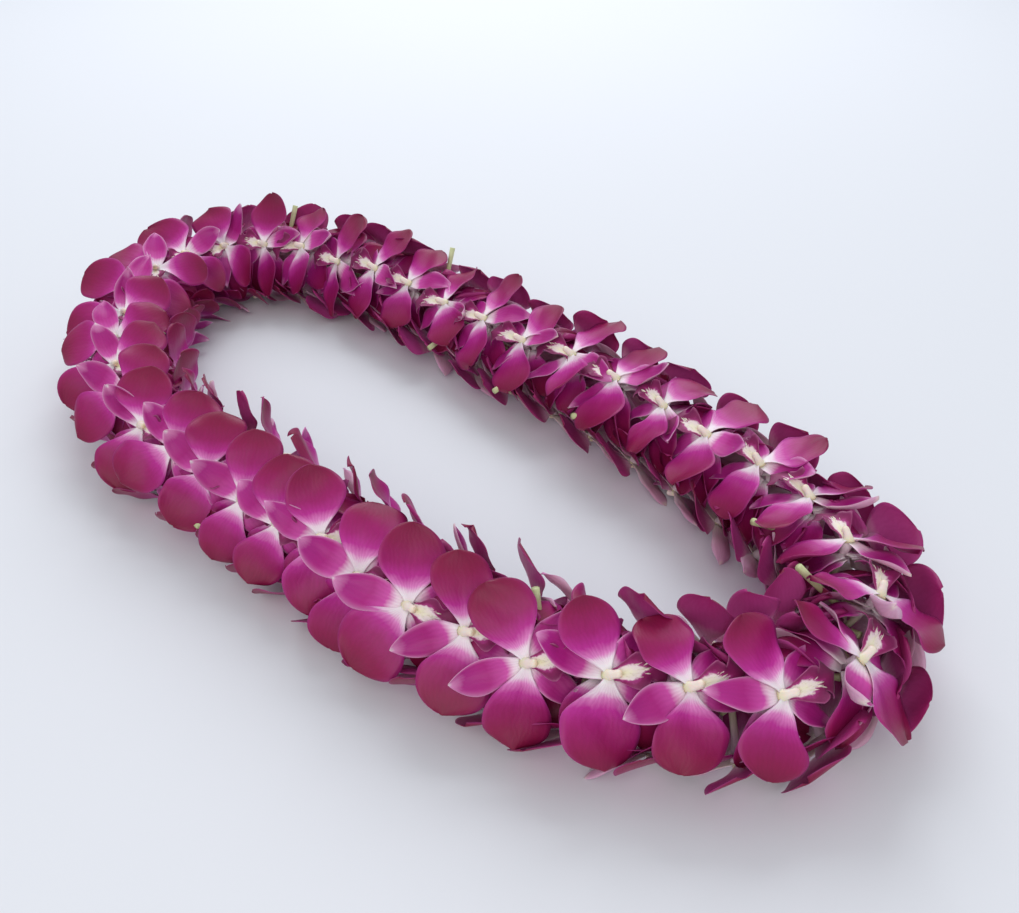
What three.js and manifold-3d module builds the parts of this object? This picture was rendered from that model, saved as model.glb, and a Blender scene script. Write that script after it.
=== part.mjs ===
// A fresh orchid lei lying closed on a level surface: one loop of string with blooms threaded
// all along it, three to a whorl, so that each whorl faces three ways round the string.
// Millimetres, +Z up. The origin is under the middle of the lei, on the surface.
import * as THREE from 'three';
import { mergeVertices } from 'three/addons/utils/BufferGeometryUtils.js';
import Module from 'manifold-3d';

const wasm = await Module();
wasm.setup();

// ---- Driving dimensions ----

// The string's route seen from above, counter-clockwise: guide points of a closed smooth spline.
const ROUTE = [
  [4, -79], [79, -81], [149, -68], [212, -41], [237, 13], [199, 63], [119, 84], [44, 90],
  [-31, 92], [-106, 96], [-181, 89], [-235, 47], [-226, -21], [-158, -69], [-80, -95],
];
const STRING_HEIGHT = 25.5; // the string's middle above the surface
const STRING_RADIUS = 0.75;
const STRING_SIDES = 4;
const KNOT_RADIUS = 1.9;
const KNOT_LENGTH = 2.6;
const TAIL_LENGTH = 7; // each of the two cut ends that stand up from the knot

const WHORLS = 38;
// How far each bloom of a whorl is turned from the first, in degrees round the string.
const ROW_STEPS = [0, 118, 242];
const BLOOMS_PER_WHORL = ROW_STEPS.length;
// Where the first bloom of a whorl faces, in degrees up from straight outward, at even places
// along the string: the rows of blooms wind a little round it.
const ROW_TURNS = [45, 52, 50, 62, 112, 102, 125, 120, 140, 122, 92, 58];
const CROWDING = 0.12; // the part by which blooms sit closer together along one half of the loop
const LOOSEST = 580; // the length along the string where they sit farthest apart
const FIRST_WHORL = -9; // the length along the string where the first whorl starts
const FACE_RADIUS = 21.5; // from the string to the middle of a face
const LAIN_RADIUS = 21; // the same for a face that looks down and is lain on
const LAIN_RELIEF = 0.4; // how much of such a face's relief is left
// Degrees by which the upper sepal stands off the string, at the same places as ROW_TURNS.
const FACE_TILTS = [27, 27, 27, 24, 20, 18, 17, 17, 19, 23, 27, 27];
const FACE_LEAN = 4; // degrees by which a face dips on the side of the next bloom
const FACE_ROLL = 10; // degrees by which the upper sepals droop off the string's direction
const FACE_WRAP = 110; // radius to which a face bends round the string
const WRAP_HALVING = 30; // towards the lip a face bends more: that radius halves over this length

const BLADE = 0.7; // thickness of sepals, petals and lips
const COLLAR_RADIUS = 2.7; // the fused roots of a whorl round the string
const COLLAR_LENGTH = 0.84; // as a part of a whorl's share of the string
const ROOT_SPREAD = 0.74; // the part of that share over which the three roots are spaced
const BORE_RADIUS = 1.18; // leaves 0.3 mm round the string
const COLUMN_LENGTH = 4.5; // how far the column stands over the face
const NOTCH_RADIUS = 5.5; // how far out two neighbouring sepals and petals stay joined

// How far one bloom may differ from the next.
const VARY = { along: 0.9, around: 8, tilt: 3, lean: 2, roll: 13, size: 0.06, curl: 1.5 };
const SEED = 18585;

const FLOOR_EASE = 6; // blooms within this height of the surface are pressed flat
const FLOOR_SINK = 1.5; // how much of the eased height the surface takes up

const PETAL_COLOUR = 0x9c2470;
const STRING_COLOUR = 0xe9e4d2;

const degrees = Math.PI / 180;

// Outlines of the blades, as [part of the length, part of the half width, height in mm].
const POINTED = [[0.52, 1, 0.6], [1, 0, 0], [0.52, -1, 0.6]];
const TUCKED = [[0.52, 1, -0.8], [1, 0, -2], [0.52, -1, -0.8]];
const ROUNDED = [[0.42, 0.92, 0.5], [0.82, 0.82, -0.3], [1, 0, -1], [0.82, -0.82, -0.3], [0.42, -0.92, 0.5]];
const FOLDED = [[0.52, 1, 5.5], [1, 0, 3.5], [0.52, -1, 5.5]];

// The six blades of a face: direction in degrees from the side towards the lip.
const BLADES = [
  { name: 'right petal', turn: -14, length: 30, width: 24, outline: ROUNDED, keel: -1.4 },
  { name: 'right side sepal', turn: 52, length: 25, width: 10, outline: TUCKED, keel: null },
  { name: 'lip', turn: 90, length: 21, width: 14, outline: FOLDED, keel: 3 },
  { name: 'left side sepal', turn: 128, length: 25, width: 10, outline: TUCKED, keel: null },
  { name: 'left petal', turn: 194, length: 30, width: 24, outline: ROUNDED, keel: -1.4 },
  { name: 'upper sepal', turn: 270, length: 30, width: 13, outline: POINTED, keel: -1.6 },
];
const KEEL_PLACE = 0.5; // part of a blade's length at which its fold is deepest

// ---- The route ----

// A number from 0 to 1 that only depends on the bloom and on what it is for.
function chance(bloom, use) {
  const wave = Math.sin(bloom * 12.9898 + use * 78.233 + SEED) * 43758.5453;
  return wave - Math.floor(wave);
}

const swing = (bloom, use, reach) => (2 * chance(bloom, use) - 1) * reach;

// Value and first two derivatives of a closed spline at t, one unit per guide value.
function splineOf(guides, t) {
  const first = Math.floor(t);
  const f = t - first;
  const weights = [
    [(1 - f) ** 3 / 6, (3 * f ** 3 - 6 * f ** 2 + 4) / 6, (3 * (f + f ** 2 - f ** 3) + 1) / 6, f ** 3 / 6],
    [-((1 - f) ** 2) / 2, (3 * f ** 2 - 4 * f) / 2, (1 + 2 * f - 3 * f ** 2) / 2, f ** 2 / 2],
    [1 - f, 3 * f - 2, 1 - 3 * f, f],
  ];
  const near = [-1, 0, 1, 2].map((k) => guides[(first + k + guides.length) % guides.length]);
  return weights.map((row) => row.reduce((sum, weight, k) => sum + weight * near[k], 0));
}

// Point and first two derivatives of the route at t.
function spline(t) {
  const across = splineOf(ROUTE.map(([x]) => x), t);
  const along = splineOf(ROUTE.map(([, y]) => y), t);
  return across.map((x, k) => new THREE.Vector2(x, along[k]));
}

// The length run through at evenly spaced places of the spline.
const STEPS_PER_POINT = 100;
const runs = [0];
for (let k = 1; k <= ROUTE.length * STEPS_PER_POINT; k += 1) {
  const [before] = spline((k - 1) / STEPS_PER_POINT);
  const [here] = spline(k / STEPS_PER_POINT);
  runs.push(runs[k - 1] + here.distanceTo(before));
}
const LOOP_LENGTH = runs[runs.length - 1];
const WHORL_LENGTH = LOOP_LENGTH / WHORLS;

// The place on the loop at a length along it: point, outward direction, curvature.
function station(along) {
  const wanted = ((along % LOOP_LENGTH) + LOOP_LENGTH) % LOOP_LENGTH;
  let low = 0;
  let high = runs.length - 1;
  while (high - low > 1) {
    const middle = (low + high) >> 1;
    if (runs[middle] > wanted) high = middle;
    else low = middle;
  }
  const part = (wanted - runs[low]) / (runs[high] - runs[low]);
  const [point, slope, turn] = spline((low + part) / STEPS_PER_POINT);
  const speed = slope.length();
  return {
    point,
    outward: new THREE.Vector2(slope.y, -slope.x).divideScalar(speed),
    curvature: (slope.x * turn.y - slope.y * turn.x) / speed ** 3,
  };
}

// A value at a length along the string, from a list of it at even places round the loop.
function atPlace(list, along) {
  const [value] = splineOf(list, ((along / LOOP_LENGTH + 1) * list.length) % list.length);
  return value;
}

// The length along the string of a place, from what it would be if all blooms sat evenly.
function crowded(even) {
  const turn = 2 * Math.PI * (even - LOOSEST) / LOOP_LENGTH;
  return FIRST_WHORL + even + CROWDING * LOOP_LENGTH / (2 * Math.PI) * Math.sin(turn);
}

// A point beside the string: length along it, distance outward, distance up.
function beside(along, out, up) {
  const { point, outward } = station(along);
  return new THREE.Vector3(
    point.x + outward.x * out,
    point.y + outward.y * out,
    STRING_HEIGHT + up,
  );
}

// ---- One bloom ----

// Where bloom number n sits and how it differs from the others.
function bloomPlace(n) {
  const along = crowded((n + 0.5) * WHORL_LENGTH / BLOOMS_PER_WHORL + swing(n, 1, VARY.along));
  const row = atPlace(ROW_TURNS, along) + ROW_STEPS[n % BLOOMS_PER_WHORL];
  const around = (row + swing(n, 2, VARY.around)) * degrees;
  const lain = Math.max(0, -Math.sin(around));
  return {
    radius: FACE_RADIUS + (LAIN_RADIUS - FACE_RADIUS) * lain,
    relief: 1 + (LAIN_RELIEF - 1) * lain,
    along,
    around,
    tilt: (atPlace(FACE_TILTS, along) + swing(n, 3, VARY.tilt)) * degrees,
    lean: (FACE_LEAN + swing(n, 6, VARY.lean)) * degrees,
    roll: (FACE_ROLL + swing(n, 4, VARY.roll)) * degrees,
    size: 1 + swing(n, 5, VARY.size),
    number: n,
  };
}

// From face coordinates (side, towards the lip, height) to the lei: the face is rolled and
// tilted, bent round the string, turned to its row, and spread where the loop bends outward.
function onFace(bloom, side, lipward, relief) {
  const height = relief * bloom.relief;
  const across = (side * Math.cos(bloom.roll) - lipward * Math.sin(bloom.roll)) * bloom.size;
  const down = (side * Math.sin(bloom.roll) + lipward * Math.cos(bloom.roll)) * bloom.size;
  const wrap = FACE_WRAP * 2 ** (-down / WRAP_HALVING);
  const angle = across / wrap;
  const depth = wrap * (1 - Math.cos(angle)) - height * Math.cos(angle) * Math.cos(bloom.tilt);
  const radial = bloom.radius - down * Math.sin(bloom.tilt) + across * Math.sin(bloom.lean) - depth;
  const tangent = -(wrap + height) * Math.sin(angle);
  const out = radial * Math.cos(bloom.around) - tangent * Math.sin(bloom.around);
  const up = radial * Math.sin(bloom.around) + tangent * Math.cos(bloom.around);
  const reach = down * Math.cos(bloom.tilt) + height * Math.sin(bloom.tilt);
  const spread = Math.max(1, 1 + station(bloom.along).curvature * out);
  const point = beside(bloom.along + reach / Math.sqrt(spread), out, up);
  point.z = easedHeight(point.z);
  return point;
}

// Heights near the surface are pressed together smoothly, and none reaches below it.
function easedHeight(z) {
  if (z >= FLOOR_EASE) return z - FLOOR_SINK;
  return FLOOR_EASE - FLOOR_EASE * Math.tanh((FLOOR_EASE - z) / FLOOR_EASE) - FLOOR_SINK;
}

// A closed blade from a sheet of points and its triangles, with the blade's thickness.
// Both faces are split alike, and one point is drawn out to a tip on each face. What would
// reach under the surface lies flat on it.
function slab(points, triangles, drawn) {
  const normals = points.map(() => new THREE.Vector3());
  const edges = new Map();
  for (const [a, b, c] of triangles) {
    const ab = points[b].clone().sub(points[a]);
    const ac = points[c].clone().sub(points[a]);
    const normal = ab.cross(ac).normalize();
    [a, b, c].forEach((k) => normals[k].add(normal));
    [[a, b], [b, c], [c, a]].forEach(([from, to]) => edges.set(`${from} ${to}`, [from, to]));
  }
  const positions = [];
  for (const side of [0.5, -0.5]) {
    points.forEach((point, k) => {
      const place = point.clone().addScaledVector(normals[k].normalize(), side * BLADE);
      if (k === drawn.point) place.copy(side > 0 ? drawn.front : drawn.back);
      const lowest = normals[k].z * side > 0 ? BLADE : 0;
      positions.push(place.x, place.y, Math.max(place.z, lowest));
    });
  }
  const back = points.length;
  const faces = triangles.flatMap(([a, b, c]) => [a, b, c, a + back, c + back, b + back]);
  for (const [from, to] of edges.values()) {
    if (!edges.has(`${to} ${from}`)) faces.push(to, from, from + back, to, from + back, to + back);
  }
  return solid(positions, faces);
}

// One bloom: six blades round a throat. The sheet's front rises to the column in the middle,
// and its back runs down to the root where the string pierces the ovary.
function bloomSolid(bloom) {
  const points = [];
  const triangles = [];
  const add = (point) => points.push(point) - 1;
  const middle = add(onFace(bloom, 0, 0, 0));
  const notches = BLADES.map((blade, k) => {
    const next = BLADES[(k + 1) % BLADES.length].turn;
    const angle = (blade.turn + (next > blade.turn ? next : next + 360)) / 2 * degrees;
    return add(onFace(bloom, NOTCH_RADIUS * Math.cos(angle), NOTCH_RADIUS * Math.sin(angle), 0));
  });
  BLADES.forEach((blade, k) => {
    const angle = blade.turn * degrees;
    const curl = swing(bloom.number, 10 + k, VARY.curl);
    const wave = swing(bloom.number, 20 + k, VARY.curl);
    const local = (x, y, height) => add(onFace(
      bloom,
      x * Math.cos(angle) - y * Math.sin(angle),
      x * Math.sin(angle) + y * Math.cos(angle),
      height,
    ));
    const rim = blade.outline.map(([length, width, height]) => local(
      length * blade.length,
      -width * blade.width / 2,
      height + curl * length + wave * width,
    ));
    const start = notches[(k + BLADES.length - 1) % BLADES.length];
    const ring = [start, ...rim, notches[k]];
    triangles.push([middle, start, notches[k]]);
    if (blade.keel === null) {
      for (let r = 1; r < ring.length - 1; r += 1) triangles.push([ring[0], ring[r], ring[r + 1]]);
      return;
    }
    const keel = local(KEEL_PLACE * blade.length, 0, blade.keel + curl / 2);
    ring.forEach((from, r) => triangles.push([keel, from, ring[(r + 1) % ring.length]]));
  });
  const column = onFace(bloom, 0, 2, COLUMN_LENGTH);
  return slab(points, triangles, { point: middle, front: column, back: rootPoint(bloom) });
}

// The place on the whorl's straight length of string where a bloom's ovary is pierced.
function rootPoint(bloom) {
  const whorl = Math.floor(bloom.number / BLOOMS_PER_WHORL);
  const place = (bloom.number % BLOOMS_PER_WHORL + 0.5) / BLOOMS_PER_WHORL;
  return stringCorner(whorl).lerp(stringCorner(whorl + 1), 0.5 + (place - 0.5) * ROOT_SPREAD);
}

// ---- The string and the whorls on it ----

const stringCorner = (k) => {
  const { point } = station(crowded(k * WHORL_LENGTH));
  return new THREE.Vector3(point.x, point.y, STRING_HEIGHT - FLOOR_SINK);
};

// A tapered tube with flat ends through a few points; a closed one joins its last to its first.
function tube(points, radii, sides, closed = false) {
  const positions = [];
  const faces = [];
  const last = points.length - 1;
  points.forEach((point, k) => {
    const before = closed ? points[(k + last) % points.length] : points[Math.max(k - 1, 0)];
    const after = closed ? points[(k + 1) % points.length] : points[Math.min(k + 1, last)];
    const forward = after.clone().sub(before).normalize();
    const pick = Math.abs(forward.z) < 0.9 ? new THREE.Vector3(0, 0, 1) : new THREE.Vector3(1, 0, 0);
    const right = pick.cross(forward).normalize();
    const top = forward.clone().cross(right);
    for (let side = 0; side < sides; side += 1) {
      const angle = (side + 0.5) * 2 * Math.PI / sides;
      const place = point.clone()
        .addScaledVector(right, Math.cos(angle) * radii[k])
        .addScaledVector(top, Math.sin(angle) * radii[k]);
      positions.push(place.x, place.y, place.z);
    }
  });
  const rings = closed ? points.length : last;
  for (let k = 0; k < rings; k += 1) {
    const here = k * sides;
    const there = ((k + 1) % points.length) * sides;
    for (let side = 0; side < sides; side += 1) {
      const next = (side + 1) % sides;
      faces.push(here + side, here + next, there + next, here + side, there + next, there + side);
    }
  }
  if (!closed) {
    for (let side = 1; side < sides - 1; side += 1) {
      const end = last * sides;
      faces.push(0, side + 1, side, end, end + side, end + side + 1);
    }
  }
  return solid(positions, faces);
}

function solid(positions, faces) {
  return new wasm.Manifold(new wasm.Mesh({
    numProp: 3,
    vertProperties: new Float32Array(positions),
    triVerts: new Uint32Array(faces),
  }));
}

// Three blooms fused at their roots in a short collar, with the hole for the string.
function whorl(k) {
  const from = stringCorner(k);
  const to = stringCorner(k + 1);
  const margin = (1 - COLLAR_LENGTH) / 2;
  const start = from.clone().lerp(to, margin);
  const end = from.clone().lerp(to, 1 - margin);
  let body = tube([start, end], [COLLAR_RADIUS, COLLAR_RADIUS], 4);
  for (let b = 0; b < BLOOMS_PER_WHORL; b += 1) {
    const bloom = bloomPlace(k * BLOOMS_PER_WHORL + b);
    body = body.add(bloomSolid(bloom));
  }
  return body.subtract(tube([from, to], [BORE_RADIUS, BORE_RADIUS], 4));
}

// The closed string with its small knot and two short tails between the last and first whorl.
function string() {
  const corners = Array.from({ length: WHORLS }, (_, k) => stringCorner(k));
  const [knot] = corners;
  const along = corners[1].clone().sub(corners[WHORLS - 1]).normalize();
  const beyond = (reach, rise) => new THREE.Vector3(0, 0, rise).addScaledVector(along, reach).add(knot);
  const half = KNOT_LENGTH / 2;
  let body = tube(corners, corners.map(() => STRING_RADIUS), STRING_SIDES, true);
  body = body.add(tube(
    [beyond(-half, 0), knot, beyond(half, 0)],
    [STRING_RADIUS * 1.2, KNOT_RADIUS, STRING_RADIUS * 1.2],
    STRING_SIDES,
  ));
  for (const side of [-1, 1]) {
    const tail = [knot, beyond(side * STRING_RADIUS * 1.1, TAIL_LENGTH)];
    body = body.add(tube(tail, [STRING_RADIUS, STRING_RADIUS * 0.8], STRING_SIDES));
  }
  return body;
}

// ---- The scene graph ----

function meshOf(name, body, colour, roughness) {
  const { vertProperties, triVerts } = body.getMesh();
  const geometry = new THREE.BufferGeometry();
  geometry.setAttribute('position', new THREE.BufferAttribute(vertProperties, 3));
  geometry.setIndex(new THREE.BufferAttribute(triVerts, 1));
  const material = new THREE.MeshStandardMaterial({ color: colour, roughness, metalness: 0 });
  const mesh = new THREE.Mesh(mergeVertices(geometry, 1e-4), material);
  mesh.name = name;
  return mesh;
}

const lei = new THREE.Group();
lei.add(meshOf('string', string(), STRING_COLOUR, 0.9));
for (let k = 0; k < WHORLS; k += 1) {
  const name = `whorl_${String(k + 1).padStart(2, '0')}`;
  lei.add(meshOf(name, whorl(k), PETAL_COLOUR, 0.55));
}

export default lei;
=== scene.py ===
"""Looks of a fresh orchid lei: one long closed loop of dendrobium blooms on a cotton string.

Every whorl of three blooms gets finer blooms in the same places as its solid, turned a little
more in their faces: thin waved petals and sepals, a folded lip with its feathery crest, a
column and a cut stalk.
Lengths are in millimetres until a mesh is made.
"""

import bpy
import numpy as np
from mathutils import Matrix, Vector


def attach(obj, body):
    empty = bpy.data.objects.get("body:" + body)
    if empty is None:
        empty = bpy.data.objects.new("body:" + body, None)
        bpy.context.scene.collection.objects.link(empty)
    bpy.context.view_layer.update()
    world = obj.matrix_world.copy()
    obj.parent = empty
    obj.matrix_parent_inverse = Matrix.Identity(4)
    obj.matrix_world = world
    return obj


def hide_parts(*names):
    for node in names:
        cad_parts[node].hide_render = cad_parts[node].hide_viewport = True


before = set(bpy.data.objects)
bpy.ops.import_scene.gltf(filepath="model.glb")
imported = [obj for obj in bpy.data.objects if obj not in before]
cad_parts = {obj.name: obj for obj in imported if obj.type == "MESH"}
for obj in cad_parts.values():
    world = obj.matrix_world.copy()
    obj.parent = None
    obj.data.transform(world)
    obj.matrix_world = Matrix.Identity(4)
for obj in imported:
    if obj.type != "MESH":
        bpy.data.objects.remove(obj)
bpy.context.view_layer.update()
MM = 0.001

# ---- The camera ----

CAMERA_PLACE = (331, -263, 309)
CAMERA_TURN = 45.16  # degrees from +Y towards -X
CAMERA_DIP = 35.57  # degrees below level
CAMERA_LENS = 36.74  # on a sensor 36 wide


def add_camera():
    """The scene's camera, aimed down at the lei from its front right."""
    camera = bpy.data.cameras.new("camera")
    camera.lens = CAMERA_LENS
    camera.sensor_width = 36
    eye = bpy.data.objects.new("camera", camera)
    turn, dip = np.radians([CAMERA_TURN, CAMERA_DIP])
    level = np.cos(dip)
    aim = Vector((-np.sin(turn) * level, np.cos(turn) * level, -np.sin(dip)))
    eye.location = Vector(CAMERA_PLACE) * MM
    eye.rotation_euler = aim.to_track_quat("-Z", "Y").to_euler()
    bpy.context.scene.collection.objects.link(eye)
    bpy.context.scene.camera = eye


add_camera()

# ---- The arrangement, as in the solids ----

ROUTE = np.array([
    [4, -79], [79, -81], [149, -68], [212, -41], [237, 13], [199, 63], [119, 84], [44, 90],
    [-31, 92], [-106, 96], [-181, 89], [-235, 47], [-226, -21], [-158, -69], [-80, -95],
], float)  # the string's route from above: guide points of a closed smooth spline
STRING_HEIGHT = 25.5  # the string's middle, before the floor's sink
WHORLS = 38
ROW_STEPS = np.array([0, 118, 242])  # degrees round the string between the rows of faces
BLOOMS_PER_WHORL = len(ROW_STEPS)
BLOOMS = WHORLS * BLOOMS_PER_WHORL
# degrees above level of the first row's faces, at even places round the loop
ROW_TURNS = np.array([45, 52, 50, 62, 112, 102, 125, 120, 140, 122, 92, 58], float)
CROWDING = 0.12  # the part by which blooms sit closer together along one half of the loop
LOOSEST = 580  # the length along the string where they sit farthest apart
FIRST_WHORL = -9  # the length along the string where the first whorl starts
FACE_RADIUS = 21.5  # from the string to the middle of a face
LAIN_RADIUS = 21  # the same for a face that looks down and is lain on
LAIN_RELIEF = 0.4  # how much of such a face's relief is left
# degrees by which faces tilt, at even places round the loop
FACE_TILTS = np.array([27, 27, 27, 24, 20, 18, 17, 17, 19, 23, 27, 27], float)
FACE_LEAN = 4  # degrees by which a face dips on the side of the next bloom
FACE_ROLL = 10  # degrees by which the upper sepals droop off the string's direction
FACE_WRAP = 110  # radius to which a face bends round the string
WRAP_HALVING = 30  # towards the lip that radius halves over this length
ROOT_SPREAD = 0.74  # the part of a whorl's string over which its three roots are spaced
# how much blooms differ: along the string, in degrees round it and in tilt, lean and roll,
# in size and in curl
VARY = {"along": 0.9, "around": 8, "tilt": 3, "lean": 2, "roll": 13, "size": 0.06, "curl": 1.5}
LOOSE_ROLL = 8  # degrees by which a finer bloom may be turned in its face besides
SEED = 18585
FLOOR_EASE = 6  # blooms within this height of the surface are pressed flat
FLOOR_SINK = 1.5  # how much of the eased height the surface takes up
STEPS_PER_POINT = 100  # places at which the route is measured, for each guide point
# which draw each difference between blooms takes
DRAWS = {
    "along": 1, "around": 2, "tilt": 3, "roll": 4, "size": 5, "lean": 6, "loose roll": 204,
    "hair place": 7, "hair part": 8, "hair length": 9, "hair aside": 11, "ruffle": 32,
    "stalk shows": 50, "stalk reach": 51, "stalk side": 52, "stalk back": 53, "stalk tone": 54,
    "lip size": 62, "bloom tone": 100, "lip tone": 102, "column tone": 103, "foot tone": 104,
    "crest tone": 105,
}


def chance(bloom, use):
    """A number from 0 to 1: the fraction part of a large sine of the bloom and the use."""
    wave = np.sin(bloom * 12.9898 + use * 78.233 + SEED) * 43758.5453
    return wave - np.floor(wave)


def swing(bloom, use, reach):
    """A number from -reach to reach."""
    return (2 * chance(bloom, use) - 1) * reach


def rare(bloom, use, reach):
    """A number from -reach to reach that is seldom large: the cube of a swing."""
    return swing(bloom, use, 1) ** 3 * reach


def bell(x, middle, spread):
    """One at the middle and less both ways: e to the minus square of distance by spread."""
    return np.exp(-(((x - middle) / spread) ** 2))


def spline(guides, t):
    """Value, slope and turn of a closed uniform cubic B-spline at t, one unit a guide."""
    first = np.floor(t).astype(int)
    f = t - first
    weights = np.array([
        [(1 - f) ** 3 / 6, (3 * f**3 - 6 * f**2 + 4) / 6, (3 * (f + f**2 - f**3) + 1) / 6, f**3 / 6],
        [-((1 - f) ** 2) / 2, (3 * f**2 - 4 * f) / 2, (1 + 2 * f - 3 * f**2) / 2, f**2 / 2],
        [1 - f, 3 * f - 2, 1 - 3 * f, f],
    ])
    near = np.stack([guides[(first + k) % len(guides)] for k in (-1, 0, 1, 2)])
    weights = weights.reshape(weights.shape + (1,) * (near.ndim - weights.ndim + 1))
    return (weights * near).sum(1)


GUIDE_STEPS = np.arange(len(ROUTE) * STEPS_PER_POINT + 1) / STEPS_PER_POINT
GUIDE_POINTS = spline(ROUTE, GUIDE_STEPS)[0]
RUNS = np.r_[0, np.cumsum(np.linalg.norm(np.diff(GUIDE_POINTS, axis=0), axis=1))]
LOOP_LENGTH = RUNS[-1]
WHORL_LENGTH = LOOP_LENGTH / WHORLS


def station(along):
    """Point, outward direction and curvature at a length along the string. The curvature is
    the cross product of slope and turn, divided by the cube of the slope's length."""
    t = np.interp(along % LOOP_LENGTH, RUNS, GUIDE_STEPS)
    point, slope, turn = spline(ROUTE, t)
    speed = np.linalg.norm(slope, axis=-1)
    outward = np.stack([slope[..., 1], -slope[..., 0]], -1) / speed[..., None]
    bend = (slope[..., 0] * turn[..., 1] - slope[..., 1] * turn[..., 0]) / speed**3
    return point, outward, bend


def crowded(even):
    """The length along the string of a place, from what it would be in even spacing: that
    and a sine that goes round once with the loop."""
    turn = 2 * np.pi * (even - LOOSEST) / LOOP_LENGTH
    return FIRST_WHORL + even + CROWDING * LOOP_LENGTH / (2 * np.pi) * np.sin(turn)


def string_corner(k):
    """The place where the string passes from one whorl to the next."""
    point = station(crowded(k * WHORL_LENGTH))[0]
    return np.concatenate([point, np.full(point.shape[:-1] + (1,), STRING_HEIGHT - FLOOR_SINK)], -1)


def at_place(values, along):
    """A value at a length along the string, from a list of it at even places round the loop."""
    return spline(values, (along / LOOP_LENGTH + 1) * len(values) % len(values))[0]


def bloom_places():
    """Where every bloom sits and how it differs, each value as one array over the blooms."""
    n = np.arange(BLOOMS)
    even = (n + 0.5) * WHORL_LENGTH / BLOOMS_PER_WHORL + swing(n, DRAWS["along"], VARY["along"])
    along = crowded(even)
    row = at_place(ROW_TURNS, along) + ROW_STEPS[n % BLOOMS_PER_WHORL]
    around = np.radians(row + swing(n, DRAWS["around"], VARY["around"]))
    lain = np.maximum(0, -np.sin(around))
    return {
        "number": n,
        "along": along,
        "around": around,
        "radius": FACE_RADIUS + (LAIN_RADIUS - FACE_RADIUS) * lain,
        "relief": 1 + (LAIN_RELIEF - 1) * lain,
        "tilt": np.radians(at_place(FACE_TILTS, along) + swing(n, DRAWS["tilt"], VARY["tilt"])),
        "lean": np.radians(FACE_LEAN + swing(n, DRAWS["lean"], VARY["lean"])),
        "roll": np.radians(FACE_ROLL + swing(n, DRAWS["roll"], VARY["roll"])
                           + swing(n, DRAWS["loose roll"], LOOSE_ROLL)),
        "size": 1 + swing(n, DRAWS["size"], VARY["size"]),
    }


PLACES = bloom_places()


def eased(z):
    """Heights near the surface pressed together smoothly, by a hyperbolic tangent."""
    low = FLOOR_EASE - FLOOR_EASE * np.tanh((FLOOR_EASE - z) / FLOOR_EASE)
    return np.where(z >= FLOOR_EASE, z, low) - FLOOR_SINK


def beside(along, out, up):
    """A point beside the string, at a distance outward and a distance up from it."""
    point, outward, _ = station(along)
    flat = point + outward * out[..., None]
    return np.concatenate([flat, (STRING_HEIGHT + up)[..., None]], -1)


def on_face(side, lipward, height):
    """From face coordinates, as arrays with the blooms first, to places in the lei.

    The face is turned by its roll and tilt, bent round the string on a circle whose radius
    halves towards the lip, and turned to its row. On the outside of a bend its reach along
    the string is divided by the root of what the bend stretches it by."""
    extra = (slice(None),) + (None,) * (side.ndim - 1)
    place = {name: values[extra] for name, values in PLACES.items()}
    height = height * place["relief"]
    cos, sin = np.cos(place["roll"]), np.sin(place["roll"])
    across = (side * cos - lipward * sin) * place["size"]
    down = (side * sin + lipward * cos) * place["size"]
    wrap = FACE_WRAP * 2 ** (-down / WRAP_HALVING)
    angle = across / wrap
    depth = wrap * (1 - np.cos(angle)) - height * np.cos(angle) * np.cos(place["tilt"])
    radial = place["radius"] - down * np.sin(place["tilt"]) + across * np.sin(place["lean"]) - depth
    tangent = -(wrap + height) * np.sin(angle)
    out = radial * np.cos(place["around"]) - tangent * np.sin(place["around"])
    up = radial * np.sin(place["around"]) + tangent * np.cos(place["around"])
    reach = down * np.cos(place["tilt"]) + height * np.sin(place["tilt"])
    spread = np.maximum(1, 1 + station(place["along"])[2] * out)
    points = beside(place["along"] + reach / np.sqrt(spread), out, up)
    points[..., 2] = eased(points[..., 2])
    return points


# ---- Grids and meshes ----


class Piece:
    """Collects sheets that all blooms have alike: corners, quads, materials and attributes."""

    def __init__(self):
        self.points, self.quads, self.slots, self.marks, self.maps = [], [], [], [], []
        self.count = 0

    def add(self, points, quads, slot, marks, cell):
        """points is blooms x corners x 3, marks blooms x corners x 4, cell corners x 2."""
        self.points.append(points)
        self.quads.append(quads + self.count)
        self.slots.append(np.full(len(quads), slot))
        self.marks.append(marks)
        self.maps.append(cell)
        self.count += points.shape[1]

    def joined(self):
        """All that was collected, as points, quads, slots, marks and places on the map."""
        return (np.concatenate(self.points, 1), np.concatenate(self.quads),
                np.concatenate(self.slots), np.concatenate(self.marks, 1), np.concatenate(self.maps))


def grid_quads(rows, columns, closed=False):
    """The four corners of every cell of a grid, counter-clockwise seen from its front."""
    index = np.arange(rows * columns).reshape(rows, columns)
    if closed:
        index = np.concatenate([index, index[:, :1]], 1)
    quads = np.stack([index[:-1, :-1], index[1:, :-1], index[1:, 1:], index[:-1, 1:]], -1)
    return quads.reshape(-1, 4)


def unit(vectors):
    """Vectors made one long, and zero where they had no length."""
    length = np.linalg.norm(vectors, axis=-1, keepdims=True)
    return vectors / np.maximum(length, 1e-9)


def sheet_normals(points):
    """At each grid point, the cross product of the steps to its neighbours both ways."""
    return unit(np.cross(np.gradient(points, axis=1), np.gradient(points, axis=2)))


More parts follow.
